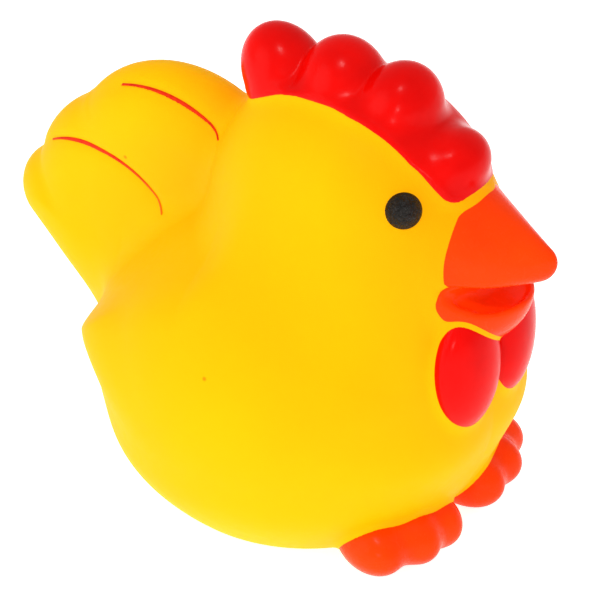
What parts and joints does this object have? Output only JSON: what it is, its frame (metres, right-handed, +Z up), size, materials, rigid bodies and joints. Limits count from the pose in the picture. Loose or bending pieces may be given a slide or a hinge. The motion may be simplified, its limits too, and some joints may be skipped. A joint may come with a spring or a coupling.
{
  "type": "squeaking toy hen",
  "caption": "Round soft-vinyl squeak hen: hollow squeezable body with comb, beak, wattles, tail fan and feet, and a pressed-in reed squeaker in its flat base.",
  "frame": {"origin": "on the flat base's plane, under the centre of the round body, in the middle of the squeaker's hole", "axes": "+X towards the beak, +Y to the bird's left, +Z up"},
  "size_m": [0.0942, 0.0664, 0.0763],
  "materials": {
    "yellow_vinyl": "soft vinyl, satin gloss",
    "red_vinyl": "glossy sprayed paint on soft vinyl",
    "orange_vinyl": "glossy sprayed paint on soft vinyl",
    "black_paint": "finely wrinkled paint on soft vinyl",
    "white_plastic": "moulded, natural",
    "reed_film": "thin stiff film"
  },
  "bodies": {
    "base": {"body_shell": "yellow_vinyl", "foot_left": "orange_vinyl", "foot_right": "orange_vinyl", "squeaker_housing": "white_plastic", "squeaker_reed_seat": "white_plastic", "squeaker_reed_clamp": "white_plastic"},
    "crown": {"comb": "red_vinyl", "upper_beak": "orange_vinyl", "lower_beak": "orange_vinyl", "wattle_left": "red_vinyl", "wattle_right": "red_vinyl", "eye_left": "black_paint", "eye_right": "black_paint"},
    "reed": {"squeaker_reed": "reed_film"}
  },
  "joints": [
    {"name": "squeeze", "type": "slide", "parent": "base", "child": "crown", "axis": [0, 0, -1], "range_m": [0, 0.012], "stiffness_N_per_m": 600, "deforming": ["body_shell"]},
    {"name": "reed_flutter", "type": "hinge", "parent": "base", "child": "reed", "pos_m": [0.00055, 0, 0.0049], "axis": [0, 1, 0], "range_deg": [-2.5, 5], "stiffness_Nm_per_rad": 0.00002}
  ]
}
